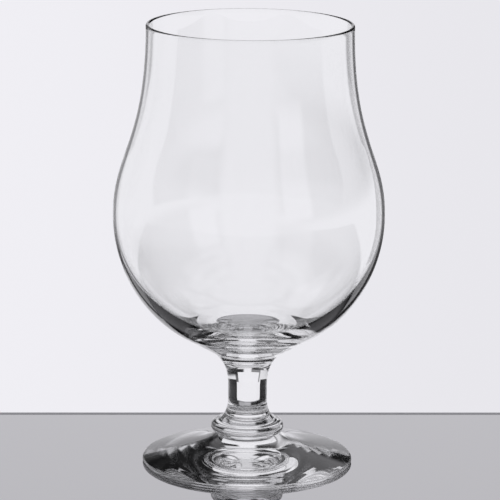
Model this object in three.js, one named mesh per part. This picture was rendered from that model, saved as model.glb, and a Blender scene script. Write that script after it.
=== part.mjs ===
// A stemmed tulip beer glass in clear glass: a pressed foot, a collar bead, a drawn stem and a
// blown bowl, fused face to face while hot. All sizes are millimetres, +Z is up, and the origin
// is the centre of the plane that the foot rests on.
import * as THREE from 'three';

// Foot: a shallow cone with a thin rounded edge that flares up to the collar, a flat resting ring
// and a domed underside.
const FOOT_DIAMETER = 71.2;
const FOOT_HEIGHT = 10.0;
const FOOT_EDGE_THICKNESS = 1.5;
const FOOT_RING_WIDTH = 6.0;
const FOOT_DOME_DEPTH = 0.6;
const FOOT_CONE_ANGLE = THREE.MathUtils.degToRad(14.0);
const FOOT_FLARE_ANGLE = THREE.MathUtils.degToRad(43.0);

// Collar: a half-round bead between the foot and the stem.
const COLLAR_DIAMETER = 24.6;
const COLLAR_HEIGHT = 4.2;

// Stem: solid, with a short straight shank, flared at both ends.
const STEM_HEIGHT = 25.1;
const STEM_SHANK_DIAMETER = 13.2;
const STEM_SHANK_HEIGHT = 7.2;
const STEM_SHANK_LENGTH = 4.9;
const STEM_TOP_DIAMETER = 27.0;

// Bowl, outside: a straight cone above the stem, then a belly that draws in to the rim.
const BOWL_HEIGHT = 110.7;
const CONE_ANGLE = THREE.MathUtils.degToRad(29.8);
const CONE_TOP_DIAMETER = 46.6;
const BELLY_DIAMETER = 91.2;
const BELLY_HEIGHT = 46.5;
const RIM_DIAMETER = 69.2;

// Bowl, inside: a thin wall that thickens below the belly into a heavy base.
const WALL_THICKNESS = 1.2;
const BASE_THICKNESS = 5.2;
const INSIDE_FLOOR_DIAMETER = 20.0;

// Tension of the curves: the share of its run that each end of a curve holds its direction.
const RIM_TENSION = 0.61;
const BELLY_UPPER_TENSION = 0.32;
const BELLY_LOWER_TENSION = 0.49;
const CONE_TENSION = 0.48;
const INSIDE_BELLY_TENSION = 0.64;
const INSIDE_FLOOR_TENSION = 0.36;
const STEM_TOP_TENSION = 1.06;
const STEM_SHANK_TENSION = 0.28;
const STEM_FLARE_TENSION = 0.48;
const FOOT_FLARE_TENSION = 0.14;
const FOOT_CONE_TENSION = 0.65;

// Fineness of the revolved solids.
const TURN_SEGMENTS = 48;
const WALL_STEPS = 12;
const FLARE_STEPS = 9;
const BEAD_STEPS = 8;
const FOOT_STEPS = 7;
const CONE_STEPS = 12;
const LIP_STEPS = 4;

// Where the pieces stack, and the round seats that they share.
const COLLAR_Z = FOOT_HEIGHT;
const STEM_Z = COLLAR_Z + COLLAR_HEIGHT;
const BOWL_Z = STEM_Z + STEM_HEIGHT;
const COLLAR_SEAT_RADIUS = (COLLAR_DIAMETER - COLLAR_HEIGHT) / 2;
const STEM_TOP_RADIUS = STEM_TOP_DIAMETER / 2;
const CONE_DIRECTION = new THREE.Vector2(Math.cos(CONE_ANGLE), Math.sin(CONE_ANGLE));

const point = (radius, height) => new THREE.Vector2(radius, height);

// A smooth run of profile points from one end to the other, with its two handles between.
function curve(start, startHandle, endHandle, end, steps) {
  return new THREE.CubicBezierCurve(start, startHandle, endHandle, end).getPoints(steps);
}

// A run of profile points on a circle, from one angle to another.
function arc(centre, radius, startAngle, endAngle, steps) {
  const clockwise = endAngle < startAngle;
  const circle = new THREE.EllipseCurve(
    centre.x, centre.y, radius, radius, startAngle, endAngle, clockwise);
  return circle.getPoints(steps);
}

// Strings runs of points into one profile and drops a point that repeats the one before it.
function joinRuns(...runs) {
  const samePlace = 1e-6;
  return runs.flat().filter((p, i, all) => i === 0 || p.distanceTo(all[i - 1]) > samePlace);
}

// Revolves a profile that runs up from the axis and back to it, and stands the solid on +Z.
function revolve(profile) {
  const geometry = new THREE.LatheGeometry(profile, TURN_SEGMENTS);
  return geometry.rotateX(Math.PI / 2);
}

function footProfile() {
  const edgeRadius = FOOT_EDGE_THICKNESS / 2;
  const edgeCentre = point(FOOT_DIAMETER / 2 - edgeRadius, edgeRadius);
  const ringInner = edgeCentre.x - FOOT_RING_WIDTH;
  const domeRadius = (ringInner ** 2 + FOOT_DOME_DEPTH ** 2) / (2 * FOOT_DOME_DEPTH);
  const domeCentre = point(0, FOOT_DOME_DEPTH - domeRadius);
  const domeSpan = Math.asin(ringInner / domeRadius);
  const dome = arc(domeCentre, domeRadius, Math.PI / 2, Math.PI / 2 - domeSpan, FOOT_STEPS);

  // The cone leaves the edge where the edge's curve has turned to the cone's own slope.
  const edge = arc(edgeCentre, edgeRadius, -Math.PI / 2, Math.PI / 2 - FOOT_CONE_ANGLE, FOOT_STEPS);
  const coneFoot = edge[edge.length - 1];
  const seatEdge = point(COLLAR_SEAT_RADIUS, FOOT_HEIGHT);
  const coneHold = FOOT_CONE_TENSION * (coneFoot.x - COLLAR_SEAT_RADIUS);
  const flareHold = FOOT_FLARE_TENSION * (coneFoot.x - COLLAR_SEAT_RADIUS);
  const coneHandle = point(coneFoot.x - coneHold, coneFoot.y + coneHold * Math.tan(FOOT_CONE_ANGLE));
  const seatHandle = point(
    COLLAR_SEAT_RADIUS + flareHold, FOOT_HEIGHT - flareHold * Math.tan(FOOT_FLARE_ANGLE));
  const cone = curve(coneFoot, coneHandle, seatHandle, seatEdge, CONE_STEPS);
  return joinRuns(dome, edge, cone, [point(0, FOOT_HEIGHT)]);
}

function collarProfile() {
  const beadRadius = COLLAR_HEIGHT / 2;
  const beadCentre = point(COLLAR_SEAT_RADIUS, beadRadius);
  const bead = arc(beadCentre, beadRadius, -Math.PI / 2, Math.PI / 2, BEAD_STEPS);
  return joinRuns([point(0, 0)], bead, [point(0, COLLAR_HEIGHT)]);
}

function stemProfile() {
  const shankRadius = STEM_SHANK_DIAMETER / 2;
  const shankBottom = point(shankRadius, STEM_SHANK_HEIGHT);
  const shankTop = point(shankRadius, STEM_SHANK_HEIGHT + STEM_SHANK_LENGTH);
  const seatEdge = point(COLLAR_SEAT_RADIUS, 0);
  const lowerFlare = curve(
    seatEdge,
    point(COLLAR_SEAT_RADIUS - STEM_FLARE_TENSION * (COLLAR_SEAT_RADIUS - shankRadius), 0),
    point(shankRadius, STEM_SHANK_HEIGHT * (1 - STEM_FLARE_TENSION)),
    shankBottom, FLARE_STEPS);

  const top = point(STEM_TOP_RADIUS, STEM_HEIGHT);
  const upperRun = STEM_TOP_RADIUS - shankRadius;
  const upperRise = STEM_HEIGHT - shankTop.y;
  const topHandle = top.clone().addScaledVector(CONE_DIRECTION, -STEM_TOP_TENSION * upperRun);
  const shankHandle = point(shankRadius, shankTop.y + STEM_SHANK_TENSION * upperRise);
  const upperFlare = curve(shankTop, shankHandle, topHandle, top, FLARE_STEPS);
  return joinRuns([point(0, 0)], lowerFlare, upperFlare, [point(0, STEM_HEIGHT)]);
}

// One face of the wall between the belly and the lip, at a given depth inside the outer face.
function upperWall(depth, lipHeight) {
  const bellyRadius = BELLY_DIAMETER / 2 - depth;
  const rimRadius = RIM_DIAMETER / 2 - depth;
  const rise = lipHeight - BELLY_HEIGHT;
  return curve(
    point(bellyRadius, BELLY_HEIGHT),
    point(bellyRadius, BELLY_HEIGHT + BELLY_UPPER_TENSION * rise),
    point(rimRadius, lipHeight - RIM_TENSION * rise),
    point(rimRadius, lipHeight), WALL_STEPS);
}

function bowlProfile() {
  const bellyRadius = BELLY_DIAMETER / 2;
  const coneTopRadius = CONE_TOP_DIAMETER / 2;
  const coneTop = point(coneTopRadius, (coneTopRadius - STEM_TOP_RADIUS) * Math.tan(CONE_ANGLE));
  const coneHandleLength = CONE_TENSION * (bellyRadius - coneTopRadius) / CONE_DIRECTION.x;
  const lowerRise = BELLY_HEIGHT - coneTop.y;
  const lowerWall = curve(
    coneTop,
    coneTop.clone().addScaledVector(CONE_DIRECTION, coneHandleLength),
    point(bellyRadius, BELLY_HEIGHT - BELLY_LOWER_TENSION * lowerRise),
    point(bellyRadius, BELLY_HEIGHT), WALL_STEPS);

  // The lip is a half round as thick as the wall.
  const lipRadius = WALL_THICKNESS / 2;
  const lipHeight = BOWL_HEIGHT - lipRadius;
  const lip = arc(point(RIM_DIAMETER / 2 - lipRadius, lipHeight), lipRadius, 0, Math.PI, LIP_STEPS);

  const insideBelly = bellyRadius - WALL_THICKNESS;
  const floorRadius = INSIDE_FLOOR_DIAMETER / 2;
  const insideLower = curve(
    point(insideBelly, BELLY_HEIGHT),
    point(insideBelly, BELLY_HEIGHT - INSIDE_BELLY_TENSION * (BELLY_HEIGHT - BASE_THICKNESS)),
    point(floorRadius + INSIDE_FLOOR_TENSION * (insideBelly - floorRadius), BASE_THICKNESS),
    point(floorRadius, BASE_THICKNESS), WALL_STEPS);

  return joinRuns(
    [point(0, 0), point(STEM_TOP_RADIUS, 0)],
    lowerWall, upperWall(0, lipHeight), lip,
    upperWall(WALL_THICKNESS, lipHeight).reverse(), insideLower,
    [point(0, BASE_THICKNESS)]);
}

// One named solid of clear glass, standing at its height in the stack.
function glassPiece(name, profile, height) {
  const material = new THREE.MeshStandardMaterial({ color: 0xe9efec, roughness: 0.02, metalness: 0 });
  material.transparent = true;
  material.opacity = 0.35;
  const mesh = new THREE.Mesh(revolve(profile), material);
  mesh.name = name;
  mesh.position.z = height;
  return mesh;
}

const glass = new THREE.Group();
glass.name = 'stemmed_glass';
glass.add(
  glassPiece('foot', footProfile(), 0),
  glassPiece('collar', collarProfile(), COLLAR_Z),
  glassPiece('stem', stemProfile(), STEM_Z),
  glassPiece('bowl', bowlProfile(), BOWL_Z),
);

export default glass;
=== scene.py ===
# %% [markdown]
# # A stemmed tulip beer glass
# The real glass is made hot, from four gathers of clear glass: a pressed foot, a bead for a collar, a drawn
# stem and a blown bowl. They fuse where they touch, so nothing holds them together but glass.
#
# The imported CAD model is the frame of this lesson. It gives each piece its place and its main sizes, in
# metres, and the pieces made here stand in for its coarse solids. The first thing to keep is the CAD box,
# because the dressed glass must not grow out of it.

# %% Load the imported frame
from math import asin, cos, degrees, pi, radians, sin, tan

import bmesh
import bpy
from mathutils import Euler, Matrix, Vector
from mathutils.geometry import interpolate_bezier


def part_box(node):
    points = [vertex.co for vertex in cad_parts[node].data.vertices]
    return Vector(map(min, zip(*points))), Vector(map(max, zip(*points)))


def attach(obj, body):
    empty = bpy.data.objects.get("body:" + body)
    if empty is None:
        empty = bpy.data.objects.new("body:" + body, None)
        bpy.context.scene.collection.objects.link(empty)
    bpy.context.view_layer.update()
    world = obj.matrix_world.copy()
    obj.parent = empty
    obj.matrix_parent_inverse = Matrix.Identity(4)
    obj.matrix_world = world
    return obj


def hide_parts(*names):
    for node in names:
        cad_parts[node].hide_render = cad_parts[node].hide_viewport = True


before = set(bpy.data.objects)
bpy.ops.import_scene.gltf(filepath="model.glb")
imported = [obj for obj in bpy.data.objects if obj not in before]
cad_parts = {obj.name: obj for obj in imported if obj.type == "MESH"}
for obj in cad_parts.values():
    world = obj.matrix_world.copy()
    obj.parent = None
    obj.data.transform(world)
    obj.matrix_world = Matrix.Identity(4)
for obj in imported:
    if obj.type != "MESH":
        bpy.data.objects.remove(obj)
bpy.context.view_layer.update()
scene = bpy.context.scene

# %% [markdown]
# ## The camera
# A long lens from about a metre away, looking a little down, is how a glass is usually photographed: the rim
# and the foot open into flat ellipses and the sides stay nearly parallel. The two ellipses fix the pitch, and
# the way they flatten from foot to rim fixes the distance. The camera leans by less than half a degree.
#
# Blender measures the lens on a 36 mm sensor, so a focal length in pixels becomes millimetres by the ratio of
# sensor to picture.

# %% Place the camera
PICTURE_PIXELS = 500
FOCAL_PIXELS = 2953.2
SENSOR_WIDTH_MM = 36.0
CAMERA_PLACE = Vector((0.0, -0.9655, 0.3019))
CAMERA_PITCH = radians(13.32)
CAMERA_LEAN = radians(0.4546)
AXIS_OFF_CENTRE_PIXELS = 1.4

lens = bpy.data.cameras.new("camera")
lens.sensor_width = SENSOR_WIDTH_MM
lens.lens = SENSOR_WIDTH_MM * FOCAL_PIXELS / PICTURE_PIXELS
lens.shift_x = AXIS_OFF_CENTRE_PIXELS / PICTURE_PIXELS
lens.clip_start = 0.01
camera = bpy.data.objects.new("camera", lens)
scene.collection.objects.link(camera)
look_down = Euler((pi / 2 - CAMERA_PITCH, 0.0, 0.0)).to_matrix()
camera.rotation_euler = (look_down @ Matrix.Rotation(CAMERA_LEAN, 3, "Z")).to_euler()
camera.location = CAMERA_PLACE
scene.camera = camera
print("lens", round(lens.lens, 1), "mm, looking down", round(degrees(CAMERA_PITCH), 2), "degrees")

# %% [markdown]
# ## Drawing a profile
# Every piece of this glass was shaped while it turned, so every piece is a profile turned round the upright
# axis. A Screw modifier on a curve would do that, but the seams between the pieces need a finish of their
# own, so the rings are laid in a bmesh, run by run.
#
# A profile point is a 2D vector: the radius, then the height. A bend is a Bézier curve whose handles show
# which way the surface leaves one end and reaches the other. A round is a part of a circle.

# %% Profile helpers
MM = 0.001


def bend(start, leaving, arriving, end, steps):
    """Points along a Bézier curve from start to end."""
    return list(interpolate_bezier(start, leaving, arriving, end, steps + 1))


def round_off(centre, radius, first_angle, last_angle, steps):
    """Points along a part of a circle."""
    angles = [first_angle + (last_angle - first_angle) * i / steps for i in range(steps + 1)]
    return [centre + radius * Vector((cos(a), sin(a))) for a in angles]


def straight(start, end, steps):
    """Points along a straight line."""
    return [start.lerp(end, i / steps) for i in range(steps + 1)]


def toward(start, angle, length):
    """The point that lies a length away from start, at an angle above the level."""
    return start + length * Vector((cos(angle), sin(angle)))


print("a quarter round has", len(round_off(Vector((0, 0)), 1.0, 0.0, pi / 2, 8)), "points")

# %% [markdown]
# ## Turning a profile
# Glass bends light by the slope of its surface, so the rings are close together and the shading is smooth.
# An edge stays sharp only where the profile really turns a corner.
#
# Each piece is a closed mesh. Where two pieces were fused there is no surface inside the glass, and two glass
# faces that touch would draw a mirror there, so those discs get the seam finish, which light passes freely.

# %% The turning helper
TURNS = 256
FINE_STEPS = 96
FLARE_STEPS = 64
DOME_STEPS = 60
BEAD_STEPS = 48
EDGE_STEPS = 32
LIP_STEPS = 24
CONE_STEPS = 24
SHANK_STEPS = 16
FLAT_STEPS = 8
SAME_PLACE = 1e-7
CORNER = radians(20.0)
GLASS_FACE = 0
SEAM_FACE = 1


def turn(name, *runs):
    """Turns runs of (points, finish), from the axis outwards and back to the axis, into a closed piece."""
    points = []
    finishes = []
    for run, finish in runs:
        for point in run:
            if points and (point - points[-1]).length < SAME_PLACE:
                continue
            if points:
                finishes.append(finish)
            points.append(point)

    shape = bmesh.new()
    rings = []
    for radius, height in points:
        if radius < SAME_PLACE:
            rings.append([shape.verts.new((0.0, 0.0, height))])
            continue
        angles = [2 * pi * k / TURNS for k in range(TURNS)]
        rings.append([shape.verts.new((radius * cos(a), radius * sin(a), height)) for a in angles])
    for low, high, finish in zip(rings, rings[1:], finishes):
        for k in range(TURNS):
            beside = k + 1
            corners = [
                low[k % len(low)], low[beside % len(low)],
                high[beside % len(high)], high[k % len(high)]]
            face = shape.faces.new(list(dict.fromkeys(corners)))
            face.material_index = finish
            face.smooth = finish == GLASS_FACE
    for before, here, after, ring in zip(points, points[1:], points[2:], rings[1:]):
        if len(ring) > 1 and (here - before).angle(after - here) > CORNER:
            for k in range(TURNS):
                shape.edges.get((ring[k], ring[(k + 1) % TURNS])).smooth = False

    mesh = bpy.data.meshes.new(name)
    shape.to_mesh(mesh)
    volume = shape.calc_volume()
    open_edges = sum(not edge.is_manifold for edge in shape.edges)
    shape.free()
    piece = bpy.data.objects.new(name, mesh)
    scene.collection.objects.link(piece)
    print(name, len(mesh.polygons), "faces,", round(volume * 1e6, 2), "ml of glass")
    print(open_edges, "open edges")
    return piece


# %% [markdown]
# ## The foot
# The foot is a disc pressed from a gather: a shallow cone that flares down from the collar and runs out to a
# thin rounded edge. Underneath only an outer ring touches the table. Inside it the face is domed up a
# little, so that the glass can't rock, and this dome also throws the table's light about in the foot.
#
# Its diameter and height come from its CAD box. The cone leaves the rounded edge exactly where the edge has
# turned to the cone's own slope, so no line shows there.

# %% Turn the foot
FOOT_EDGE = 1.5 * MM
FOOT_RING = 6.0 * MM
FOOT_DOME = 0.6 * MM
FOOT_CONE_ANGLE = radians(14.0)
FOOT_FLARE_ANGLE = radians(43.0)
FOOT_CONE_PULL = 0.65
FOOT_FLARE_PULL = 0.14

foot_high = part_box("foot")[1]
collar_low, collar_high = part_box("collar")
seat_radius = collar_high.x - (collar_high.z - collar_low.z) / 2

edge_centre = Vector((foot_high.x - FOOT_EDGE / 2, FOOT_EDGE / 2))
ring_inner = Vector((edge_centre.x - FOOT_RING, 0.0))
dome_radius = (ring_inner.x ** 2 + FOOT_DOME ** 2) / (2 * FOOT_DOME)
dome_span = asin(ring_inner.x / dome_radius)
dome_centre = Vector((0.0, FOOT_DOME - dome_radius))
dome = round_off(dome_centre, dome_radius, pi / 2, pi / 2 - dome_span, DOME_STEPS)

foot_edge = round_off(
    edge_centre, FOOT_EDGE / 2, -pi / 2, pi / 2 - FOOT_CONE_ANGLE, EDGE_STEPS)
cone_foot = foot_edge[-1]
cone_run = cone_foot.x - seat_radius
foot_seat = Vector((seat_radius, foot_high.z))
foot_cone = bend(
    cone_foot,
    cone_foot + FOOT_CONE_PULL * cone_run * Vector((-1.0, tan(FOOT_CONE_ANGLE))),
    foot_seat + FOOT_FLARE_PULL * cone_run * Vector((1.0, -tan(FOOT_FLARE_ANGLE))),
    foot_seat, FINE_STEPS)

foot = turn(
    "glass_foot",
    (dome, GLASS_FACE),
    (straight(ring_inner, foot_edge[0], FLAT_STEPS), GLASS_FACE),
    (foot_edge, GLASS_FACE),
    (foot_cone, GLASS_FACE),
    (straight(foot_seat, Vector((0.0, foot_high.z)), FLAT_STEPS), SEAM_FACE))
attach(foot, "root")
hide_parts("foot")

# %% [markdown]
# ## The collar
# The collar is a bead of glass laid between foot and stem: a half round that stands a little proud of both.
# It could be a torus sunk into the stem, but a half round on the shared seat gives the same outline and
# leaves no faces inside the glass.

# %% Turn the collar
bead_radius = (collar_high.z - collar_low.z) / 2
bead_centre = Vector((seat_radius, collar_low.z + bead_radius))
bead = round_off(bead_centre, bead_radius, -pi / 2, pi / 2, BEAD_STEPS)
collar = turn(
    "glass_collar",
    (straight(Vector((0.0, collar_low.z)), bead[0], FLAT_STEPS), SEAM_FACE),
    (bead, GLASS_FACE),
    (straight(bead[-1], Vector((0.0, collar_high.z)), FLAT_STEPS), SEAM_FACE))
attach(collar, "root")
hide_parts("collar")

# %% [markdown]
# ## The stem
# The stem is drawn from the bottom of the hot bowl, and so it is solid. It has a short straight shank,
# spreads a little on the collar, and flows up into the bowl without a line. The upper flare arrives at the
# slope of the bowl's cone, so the two pieces share a tangent at their seam.

# %% Turn the stem
STEM_SHANK_RADIUS = 6.6 * MM
STEM_SHANK_RISE = 7.2 * MM
STEM_SHANK_LENGTH = 4.9 * MM
STEM_FLARE_PULL = 0.48
STEM_SHANK_PULL = 0.28
STEM_TOP_PULL = 1.06
BOWL_CONE_ANGLE = radians(29.8)

stem_low, stem_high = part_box("stem")
stem_seat = Vector((seat_radius, stem_low.z))
shank_bottom = Vector((STEM_SHANK_RADIUS, stem_low.z + STEM_SHANK_RISE))
shank_top = shank_bottom + Vector((0.0, STEM_SHANK_LENGTH))
stem_top = Vector((stem_high.x, stem_high.z))
flare_width = stem_top.x - STEM_SHANK_RADIUS
lower_flare = bend(
    stem_seat,
    Vector((seat_radius - STEM_FLARE_PULL * (seat_radius - STEM_SHANK_RADIUS), stem_low.z)),
    shank_bottom - Vector((0.0, STEM_FLARE_PULL * STEM_SHANK_RISE)),
    shank_bottom, FLARE_STEPS)
upper_flare = bend(
    shank_top,
    shank_top + Vector((0.0, STEM_SHANK_PULL * (stem_top.y - shank_top.y))),
    toward(stem_top, BOWL_CONE_ANGLE, -STEM_TOP_PULL * flare_width),
    stem_top, FINE_STEPS)
stem = turn(
    "glass_stem",
    (straight(Vector((0.0, stem_low.z)), stem_seat, FLAT_STEPS), SEAM_FACE),
    (lower_flare, GLASS_FACE),
    (straight(shank_bottom, shank_top, SHANK_STEPS), GLASS_FACE),
    (upper_flare, GLASS_FACE),
    (straight(stem_top, Vector((0.0, stem_top.y)), FLAT_STEPS), SEAM_FACE))
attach(stem, "root")
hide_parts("stem")

# %% [markdown]
# ## The bowl
# The bowl is blown. Outside it rises as a straight cone from the stem, swells to a belly and draws in again
# to the rim. Inside it follows the outside at the thickness of the wall, but below the belly the wall grows
# into a heavy base, and the floor is a small flat disc. The lip was melted round in a flame.
#
# A Solidify modifier would give one thickness everywhere, so the inside gets a profile of its own.

# %% Profile of the bowl
BOWL_CONE_TOP_RADIUS = 23.3 * MM
BOWL_BELLY_RISE = 46.5 * MM
BOWL_RIM_RADIUS = 34.6 * MM
BOWL_WALL = 1.2 * MM
BOWL_BASE = 5.2 * MM
BOWL_FLOOR_RADIUS = 10.0 * MM
RIM_PULL = 0.61
BELLY_UPPER_PULL = 0.32
BELLY_LOWER_PULL = 0.49
CONE_PULL = 0.48
INSIDE_BELLY_PULL = 0.64
INSIDE_FLOOR_PULL = 0.36

bowl_low, bowl_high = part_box("bowl")
belly = Vector((bowl_high.x, bowl_low.z + BOWL_BELLY_RISE))
cone_rise = (BOWL_CONE_TOP_RADIUS - stem_top.x) * tan(BOWL_CONE_ANGLE)
cone_top = Vector((BOWL_CONE_TOP_RADIUS, bowl_low.z + cone_rise))
cone_hold = CONE_PULL * (belly.x - cone_top.x) / cos(BOWL_CONE_ANGLE)
lower_wall = bend(
    cone_top,
    toward(cone_top, BOWL_CONE_ANGLE, cone_hold),
    belly - Vector((0.0, BELLY_LOWER_PULL * (belly.y - cone_top.y))),
    belly, FINE_STEPS)

lip_radius = BOWL_WALL / 2
lip_centre = Vector((BOWL_RIM_RADIUS - lip_radius, bowl_high.z - lip_radius))
lip = round_off(lip_centre, lip_radius, 0.0, pi, LIP_STEPS)


def upper_wall(depth):
    """One face of the wall from the belly up to the lip, at a depth under the outside."""
    start = belly - Vector((depth, 0.0))
    end = Vector((BOWL_RIM_RADIUS - depth, lip_centre.y))
    rise = end.y - start.y
    return bend(
        start,
        start + Vector((0.0, BELLY_UPPER_PULL * rise)),
        end - Vector((0.0, RIM_PULL * rise)),
        end, FINE_STEPS)


inside_belly = belly - Vector((BOWL_WALL, 0.0))
inside_floor = Vector((BOWL_FLOOR_RADIUS, bowl_low.z + BOWL_BASE))
lower_inside = bend(
    inside_belly,
    inside_belly - Vector((0.0, INSIDE_BELLY_PULL * (inside_belly.y - inside_floor.y))),
    inside_floor + Vector((INSIDE_FLOOR_PULL * (inside_belly.x - inside_floor.x), 0.0)),
    inside_floor, FINE_STEPS)
print("belly", round(belly.x * 2000, 1), "mm across, rim", round(BOWL_RIM_RADIUS * 2000, 1), "mm across")

# %% Turn the bowl
cone_foot_ring = Vector((stem_top.x, bowl_low.z))
bowl = turn(
    "glass_bowl",
    (straight(Vector((0.0, bowl_low.z)), cone_foot_ring, FLAT_STEPS), SEAM_FACE),
    (straight(cone_foot_ring, cone_top, CONE_STEPS), GLASS_FACE),
    (lower_wall, GLASS_FACE),
    (upper_wall(0.0), GLASS_FACE),
    (lip, GLASS_FACE),
    (upper_wall(BOWL_WALL)[::-1], GLASS_FACE),
    (lower_inside, GLASS_FACE),
    (straight(inside_floor, Vector((0.0, inside_floor.y)), CONE_STEPS), GLASS_FACE))
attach(bowl, "root")
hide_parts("bowl")

# %% [markdown]
# ## Clear glass
# Clear soda glass takes almost nothing from the light, and what it takes leaves a breath of green. Its look
# is all bending and mirroring, so the Principled shader lets everything through at the index of glass.
#
# What sets hand-made glass apart from a perfect lens is in its skin. A blown wall has broad soft ripples, a
# drawn stem has faint cords along its length, and a pressed foot has a close dimple where the mould chilled
# it. They are a few thousandths of a millimetre deep, so a bump is the right tool. The foot has also been
# slid over tables, and its resting ring is rubbed dull.

# %% Node helpers
def add_node(tree, kind, **settings):
    """A new node with its own settings, such as operation or interpolation_type."""
    node = tree.nodes.new(kind)
    for name, value in settings.items():
        setattr(node, name, value)
    return node


def feed(tree, socket, value):
    """Links an output to a socket, or sets the socket to a plain value."""
    if isinstance(value, bpy.types.NodeSocket):
        tree.links.new(value, socket)
    else:
        socket.default_value = value


def sums(tree, operation, *values):
    """The result of one Math node."""
    node = add_node(tree, "ShaderNodeMath", operation=operation)
    for socket, value in zip(node.inputs, values):
        feed(tree, socket, value)
    return node.outputs[0]


def ramp(tree, value, low, high, at_low=0.0, at_high=1.0):
    """A smooth change from at_low to at_high while value goes from low to high."""
    node = add_node(tree, "ShaderNodeMapRange", interpolation_type="SMOOTHSTEP")
    for name, number in (
            ("Value", value), ("From Min", low), ("From Max", high), ("To Min", at_low), ("To Max", at_high)):
        feed(tree, node.inputs[name], number)
    return node.outputs["Result"]


# %% The glass finishes
GLASS_INDEX = 1.52
GLASS_TINT = (0.997, 0.999, 0.998, 1.0)
GLASS_TINT_DEEP = (0.994, 0.998, 0.996, 1.0)
POLISH = 0.004
HANDLED = 0.012
RUBBED = 0.02
RUBBED_UP_TO = (0.02 * MM, 0.12 * MM)
TOUCHES_PER_METRE = 240.0
TOUCH_SHARE = (0.4, 0.7)


def clear_glass(name, marks_per_metre, mark_depth):
    """Clear glass whose skin has its own marks: how close along each axis, and how deep in metres."""
    material = bpy.data.materials.new(name)
    material.use_nodes = True
    tree = material.node_tree
    shader = tree.nodes["Principled BSDF"]
    shader.inputs["Transmission Weight"].default_value = 1.0
    shader.inputs["IOR"].default_value = GLASS_INDEX
    place = add_node(tree, "ShaderNodeTexCoord").outputs["Object"]

    stretch = add_node(tree, "ShaderNodeVectorMath", operation="MULTIPLY")
    feed(tree, stretch.inputs[0], place)
    stretch.inputs[1].default_value = marks_per_metre
    marks = add_node(tree, "ShaderNodeTexNoise")
    feed(tree, marks.inputs["Vector"], stretch.outputs["Vector"])
    marks.inputs["Scale"].default_value = 1.0
    marks.inputs["Detail"].default_value = 1.0
    bump = add_node(tree, "ShaderNodeBump")
    bump.inputs["Distance"].default_value = mark_depth
    feed(tree, bump.inputs["Height"], marks.outputs["Fac"])
    feed(tree, shader.inputs["Normal"], bump.outputs["Normal"])

    tint = add_node(tree, "ShaderNodeMix", data_type="RGBA")
    feed(tree, tint.inputs["Factor"], marks.outputs["Fac"])
    tint.inputs[6].default_value = GLASS_TINT
    tint.inputs[7].default_value = GLASS_TINT_DEEP
    feed(tree, shader.inputs["Base Color"], tint.outputs[2])

    handling = add_node(tree, "ShaderNodeTexNoise")
    feed(tree, handling.inputs["Vector"], place)
    handling.inputs["Scale"].default_value = TOUCHES_PER_METRE
    handling.inputs["Detail"].default_value = 3.0
    polish = ramp(tree, handling.outputs["Fac"], *TOUCH_SHARE, POLISH, HANDLED)
    height = add_node(tree, "ShaderNodeSeparateXYZ")
    feed(tree, height.inputs[0], place)
    rubbed = ramp(tree, height.outputs["Z"], *RUBBED_UP_TO, RUBBED, 0.0)
    feed(tree, shader.inputs["Roughness"], sums(tree, "MAXIMUM", polish, rubbed))
    print(name, "marks", round(mark_depth * 1e6, 1), "thousandths of a millimetre deep")
    return material


pressed_glass = clear_glass("pressed_clear_glass", (130.0, 130.0, 130.0), 4e-6)
drawn_glass = clear_glass("drawn_clear_glass", (260.0, 260.0, 40.0), 4e-6)
blown_glass = clear_glass("blown_clear_glass", (45.0, 45.0, 30.0), 10e-6)

# %% The fused seam
fused_seam = bpy.data.materials.new("fused_seam")
fused_seam.use_nodes = True
seam_tree = fused_seam.node_tree
seam_tree.nodes.clear()
seam_light = add_node(seam_tree, "ShaderNodeBsdfTransparent")
seam_out = add_node(seam_tree, "ShaderNodeOutputMaterial")
feed(seam_tree, seam_out.inputs["Surface"], seam_light.outputs["BSDF"])

for piece, skin in ((foot, pressed_glass), (collar, pressed_glass), (stem, drawn_glass), (bowl, blown_glass)):
    piece.data.materials.append(skin)
    piece.data.materials.append(fused_seam)
    print(piece.name, "is", skin.name)

# %% [markdown]
# ## The table
# The glass stands on a polished pale grey sheet, whose back edge shows a little behind the foot. Glass shows
# what it stands on, and a sheet that mirrors like this one gives the foot its dark sides and repeats the stem
# below it. The cut edge of the sheet is given a matt grey, darker than its top, which draws a thin dark line.
#
# Its top lies a tenth of a millimetre under the foot: two faces in one plane would fight for the same light.

# %% The sheet
TABLE_GAP = 0.1 * MM
TABLE_BACK = 57.0 * MM
TABLE_HALF_WIDTH = 0.7
TABLE_FRONT = 0.7
TABLE_THICKNESS = 6.0 * MM
TABLE_CUT = 4.0 * MM
TABLE_CUT_DROP = 0.3 * MM
TABLE_TURN = radians(1.57)

sheet_shape = bmesh.new()
across = (-TABLE_HALF_WIDTH, TABLE_HALF_WIDTH)
back_line = TABLE_BACK - TABLE_CUT
sheet_bottom = -TABLE_GAP - TABLE_THICKNESS
levels = (
    (-TABLE_FRONT, -TABLE_GAP),
    (back_line, -TABLE_GAP),
    (TABLE_BACK, -TABLE_GAP - TABLE_CUT_DROP),
    (TABLE_BACK, sheet_bottom),
    (-TABLE_FRONT, sheet_bottom))
# The chamfer and the back face take the darker matt grey that draws the thin dark line along the back edge.
darker_edge_faces = (1, 2)
rails = [[sheet_shape.verts.new((x, y, z)) for y, z in levels] for x in across]
for i in range(len(levels)):
    j = (i + 1) % len(levels)
    side = sheet_shape.faces.new((rails[0][i], rails[1][i], rails[1][j], rails[0][j]))
    side.material_index = int(i in darker_edge_faces)
sheet_shape.faces.new(rails[0][::-1])
sheet_shape.faces.new(rails[1])
bmesh.ops.recalc_face_normals(sheet_shape, faces=sheet_shape.faces)
sheet_mesh = bpy.data.meshes.new("table")
sheet_shape.to_mesh(sheet_mesh)
sheet_shape.free()
table = bpy.data.objects.new("table", sheet_mesh)
table.rotation_euler.z = TABLE_TURN
scene.collection.objects.link(table)
print("table", len(sheet_mesh.polygons), "faces")

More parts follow.
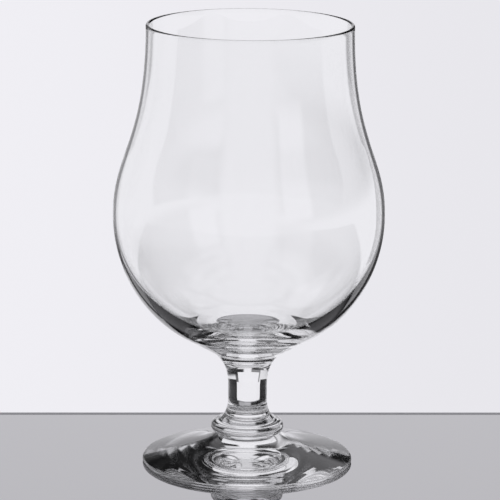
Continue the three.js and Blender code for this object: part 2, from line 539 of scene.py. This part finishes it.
# %% The sheet's finishes
SHEET_GREY = (0.487, 0.485, 0.492, 1.0)
# The back edge is coloured a darker grey than the sheet, so that it shows as a thin dark line.
BACK_EDGE_DARKER_GREY = (0.30, 0.30, 0.31, 1.0)
SHEET_ROUGHNESS = 0.03
CUT_ROUGHNESS = 0.9

polished_sheet = bpy.data.materials.new("polished_sheet")
polished_sheet.use_nodes = True
sheet_shader = polished_sheet.node_tree.nodes["Principled BSDF"]
sheet_shader.inputs["Base Color"].default_value = SHEET_GREY
sheet_shader.inputs["Metallic"].default_value = 1.0
sheet_shader.inputs["Roughness"].default_value = SHEET_ROUGHNESS
darker_back_edge = bpy.data.materials.new("darker_back_edge")
darker_back_edge.use_nodes = True
edge_shader = darker_back_edge.node_tree.nodes["Principled BSDF"]
edge_shader.inputs["Base Color"].default_value = BACK_EDGE_DARKER_GREY
edge_shader.inputs["Roughness"].default_value = CUT_ROUGHNESS
sheet_mesh.materials.append(polished_sheet)
sheet_mesh.materials.append(darker_back_edge)

# %% [markdown]
# ## The studio
# Glass has no colour of its own to show, so its shape is drawn by what stands around it. A pale panel close
# behind it fills the bowl with light. Past the panel's sides the room is dark, and the edges of the glass,
# which bend the light most, gather that dark into a fine line. Two small dark cards bent round the foot do
# the same for the stem, which is solid and so bends the light far more than the bowl does.
#
# A whole white tent would be simpler, but in it a clear glass all but disappears. The panel and the cards are
# objects at their own distances, because a stem near the table and a rim high above it have to see different
# things in the same direction. The camera doesn't see them, because from the sides they would stand in the
# way, and the table doesn't mirror the cards, which stand on it.

# %% The panel and the cards
PANEL_AWAY = 0.25
CARD_AWAY = 0.042
CARD_HEIGHTS = (0.0005, 0.0235)
CARD_STEPS = 12
CARD_LEFT = (-72.0, -24.5)
CARD_RIGHT = (20.0, 72.0)
PANEL_SIDES = (-0.14, 0.11)
PANEL_HEIGHTS = (-0.33, -0.025)
PANEL_TOP_SIDES = (-0.105, 0.085)
PANEL_TOP_HEIGHTS = (-0.025, 0.07)
PALE_LEVEL = 0.88
CARD_LEVEL = 0.015
STUDIO_TINT = (1.0, 0.99, 1.035)


def stand_up(name, path, heights, level):
    """Stands an upright sheet along a path that glows evenly, and that only mirrors and glass show."""
    corners = [(x, y, z) for x, y in path for z in heights]
    faces = [(2 * i, 2 * i + 2, 2 * i + 3, 2 * i + 1) for i in range(len(path) - 1)]
    mesh = bpy.data.meshes.new(name)
    mesh.from_pydata(corners, [], faces)
    finish = bpy.data.materials.new(name)
    finish.use_nodes = True
    tree = finish.node_tree
    tree.nodes.clear()
    glow = add_node(tree, "ShaderNodeEmission")
    glow.inputs["Color"].default_value = (*(level * part for part in STUDIO_TINT), 1.0)
    output = add_node(tree, "ShaderNodeOutputMaterial")
    feed(tree, output.inputs["Surface"], glow.outputs["Emission"])
    mesh.materials.append(finish)
    upright = bpy.data.objects.new(name, mesh)
    scene.collection.objects.link(upright)
    upright.visible_camera = False
    upright.visible_diffuse = False
    upright.visible_shadow = False
    print(name, "stands from", path[0], "to", path[-1])
    return upright


def behind(left, right):
    """The path of a flat sheet behind the glass."""
    return [(left, PANEL_AWAY), (right, PANEL_AWAY)]


def around(first, last):
    """The path of a card bent round the glass, from one bearing to another in degrees."""
    turns = [radians(first + (last - first) * i / CARD_STEPS) for i in range(CARD_STEPS + 1)]
    return [(CARD_AWAY * sin(a), CARD_AWAY * cos(a)) for a in turns]


stand_up("pale_panel", behind(*PANEL_SIDES), PANEL_HEIGHTS, PALE_LEVEL)
stand_up("pale_panel_top", behind(*PANEL_TOP_SIDES), PANEL_TOP_HEIGHTS, PALE_LEVEL)
for name, bearings in (("dark_card_left", CARD_LEFT), ("dark_card_right", CARD_RIGHT)):
    card = stand_up(name, around(*bearings), CARD_HEIGHTS, CARD_LEVEL)
    card.visible_glossy = False

# %% [markdown]
# ## The room round the glass
# The rest of the room is far away, so it can be part of the world. A direction is given as on a map: its
# bearing from straight behind the glass, with the right-hand side positive, and its height above the horizon.
# The room is a dark shell with pale walls to the sides and behind the camera, a pale ceiling and a few
# windows. The wall on the right ends below the height at which the left side of the foot would show it, which
# keeps that side dark. Two of the windows, the quarter ones, are there for the table seen from other sides.

# %% Directions in the room
room = bpy.data.worlds.new("studio_room")
scene.world = room
room.use_nodes = True
room_tree = room.node_tree
way = add_node(room_tree, "ShaderNodeSeparateXYZ")
feed(room_tree, way.inputs[0], add_node(room_tree, "ShaderNodeTexCoord").outputs["Generated"])
bearing = sums(room_tree, "DEGREES", sums(room_tree, "ARCTAN2", way.outputs["X"], way.outputs["Y"]))
to_side = sums(room_tree, "ABSOLUTE", bearing)
height = sums(room_tree, "DEGREES", sums(room_tree, "ARCSINE", way.outputs["Z"]))


def times(first, *others):
    """The product of several levels."""
    for other in others:
        first = sums(room_tree, "MULTIPLY", first, other)
    return first


def left_right(left, right):
    """One value on the left of the glass and another on its right."""
    return ramp(room_tree, bearing, -5.0, 5.0, left, right)


def within(value, span, soft):
    """1 inside a span of degrees and 0 outside it, with soft edges."""
    low, high = span
    rise = ramp(room_tree, value, low - soft, low + soft)
    return times(rise, ramp(room_tree, value, high - soft, high + soft, 1.0, 0.0))


# %% The windows
# Each window has its bearings, its heights, its level and the softness of its edges, all angles in degrees.
WINDOWS = {
    "backdrop": ((-11.0, 9.0), (-60.0, 8.0), PALE_LEVEL, 1.0),
    "strip_over_table": ((-7.0, 7.0), (0.0, 27.0), PALE_LEVEL, 2.0),
    "high_right": ((-8.0, 20.0), (22.0, 57.0), 0.75, 2.0),
    "high_left": ((-20.0, -5.0), (43.0, 57.0), 0.75, 2.0),
    "upper_left": ((-70.0, -24.0), (30.0, 56.0), 0.90, 4.0),
    "upper_right": ((24.0, 48.0), (36.0, 56.0), 0.85, 4.0),
    "high_far_left": ((-150.0, -72.0), (43.0, 57.0), 0.80, 4.0),
    "high_far_right": ((78.0, 150.0), (43.0, 57.0), 0.80, 4.0),
    "quarter_left": ((-53.0, -37.0), (17.0, 33.0), 0.90, 3.0),
    "quarter_back": ((124.0, 150.0), (2.0, 38.0), 0.72, 3.0),
}
ROOM_DARK = 0.012

room_level = ROOM_DARK
for sides, heights, level, soft in WINDOWS.values():
    window = times(within(bearing, sides, soft), within(height, heights, soft), level)
    room_level = sums(room_tree, "MAXIMUM", room_level, window)
print(len(WINDOWS), "windows")

# %% Walls and ceiling
WALL_START = 26.0
WALL_PALE = 0.80
WALL_FAR = 0.62
WALL_TOP_LEFT = 14.0
WALL_TOP_RIGHT = -4.0
WALL_FADE = 10.0
SHADE_LEFT = 0.25
SHADE_RIGHT = 0.13
SHADE_LOW = 0.4
FRONT_PALE = 0.64
FRONT_HIGH = 0.60
CEILING = 0.60
SIDE_SOFT = 2.0
WALL_DIMS = (40.0, 110.0)
SHADE_DIMS = (-30.0, -8.0)
FRONT_SIDES = (115.0, 150.0)
FRONT_FADES = (5.0, 15.0)
MIDDLE_SIDES = (145.0, 160.0)
MIDDLE_FADES = (5.0, 30.0)
CEILING_STARTS = (58.0, 66.0)

wall_top = left_right(WALL_TOP_LEFT, WALL_TOP_RIGHT)
over_wall = sums(room_tree, "SUBTRACT", height, wall_top)
below_top = ramp(room_tree, over_wall, 0.0, WALL_FADE, 1.0, 0.0)
wall = ramp(room_tree, to_side, *WALL_DIMS, WALL_PALE, WALL_FAR)
wall = times(wall, below_top, ramp(room_tree, to_side, WALL_START - SIDE_SOFT, WALL_START + SIDE_SOFT))
shade = ramp(room_tree, height, *SHADE_DIMS, SHADE_LOW, 1.0)
shade = times(shade, left_right(SHADE_LEFT, SHADE_RIGHT), below_top)
front = ramp(room_tree, height, *FRONT_FADES, FRONT_PALE, 0.0)
front = times(front, ramp(room_tree, to_side, *FRONT_SIDES))
front_middle = ramp(room_tree, height, *MIDDLE_FADES, FRONT_PALE, FRONT_HIGH)
front_middle = times(front_middle, ramp(room_tree, to_side, *MIDDLE_SIDES))
ceiling = ramp(room_tree, height, *CEILING_STARTS, 0.0, CEILING)
for surface in (wall, shade, front, front_middle, ceiling):
    room_level = sums(room_tree, "MAXIMUM", room_level, surface)

room_tint = add_node(room_tree, "ShaderNodeVectorMath", operation="SCALE")
room_tint.inputs[0].default_value = STUDIO_TINT
feed(room_tree, room_tint.inputs["Scale"], room_level)
room_light = room_tint.outputs["Vector"]
print("the walls start", WALL_START, "degrees to each side")

# %% [markdown]
# ## What the camera sees
# The camera and matt surfaces see a plain pale backdrop, a little brighter on the left. Glass and mirrors see
# the room. One room for both would be truer, but then dark walls would stand in the picture from the sides.

# %% The plain pale world that the camera sees
BACKDROP_LEFT = (0.871, 0.862, 0.905, 1.0)
BACKDROP_RIGHT = (0.807, 0.799, 0.839, 1.0)
BACKDROP_REACH = 0.1

backdrop = add_node(room_tree, "ShaderNodeMix", data_type="RGBA")
feed(room_tree, backdrop.inputs["Factor"], ramp(room_tree, way.outputs["X"], -BACKDROP_REACH, BACKDROP_REACH))
backdrop.inputs[6].default_value = BACKDROP_LEFT
backdrop.inputs[7].default_value = BACKDROP_RIGHT
ray = add_node(room_tree, "ShaderNodeLightPath")
through_glass = sums(room_tree, "MAXIMUM", ray.outputs["Is Glossy Ray"], ray.outputs["Is Transmission Ray"])
seen = add_node(room_tree, "ShaderNodeMix", data_type="RGBA")
feed(room_tree, seen.inputs["Factor"], through_glass)
feed(room_tree, seen.inputs[6], backdrop.outputs[2])
feed(room_tree, seen.inputs[7], room_light)
feed(room_tree, room_tree.nodes["Background"].inputs["Color"], seen.outputs[2])
room_tree.nodes["Background"].inputs["Strength"].default_value = 1.0
print("backdrop from", BACKDROP_LEFT[:3], "to", BACKDROP_RIGHT[:3])

# %% [markdown]
# ## Light paths
# A ray that enters the foot crosses many faces before it is out again, so Cycles may follow it for longer
# than it does by default. The picture keeps the plain Standard view, so a colour looks as it is written.

# %% Let light go deep enough
scene.cycles.max_bounces = 32
scene.cycles.transmission_bounces = 32
scene.cycles.glossy_bounces = 16
scene.cycles.transparent_max_bounces = 48
scene.view_settings.view_transform = "Standard"
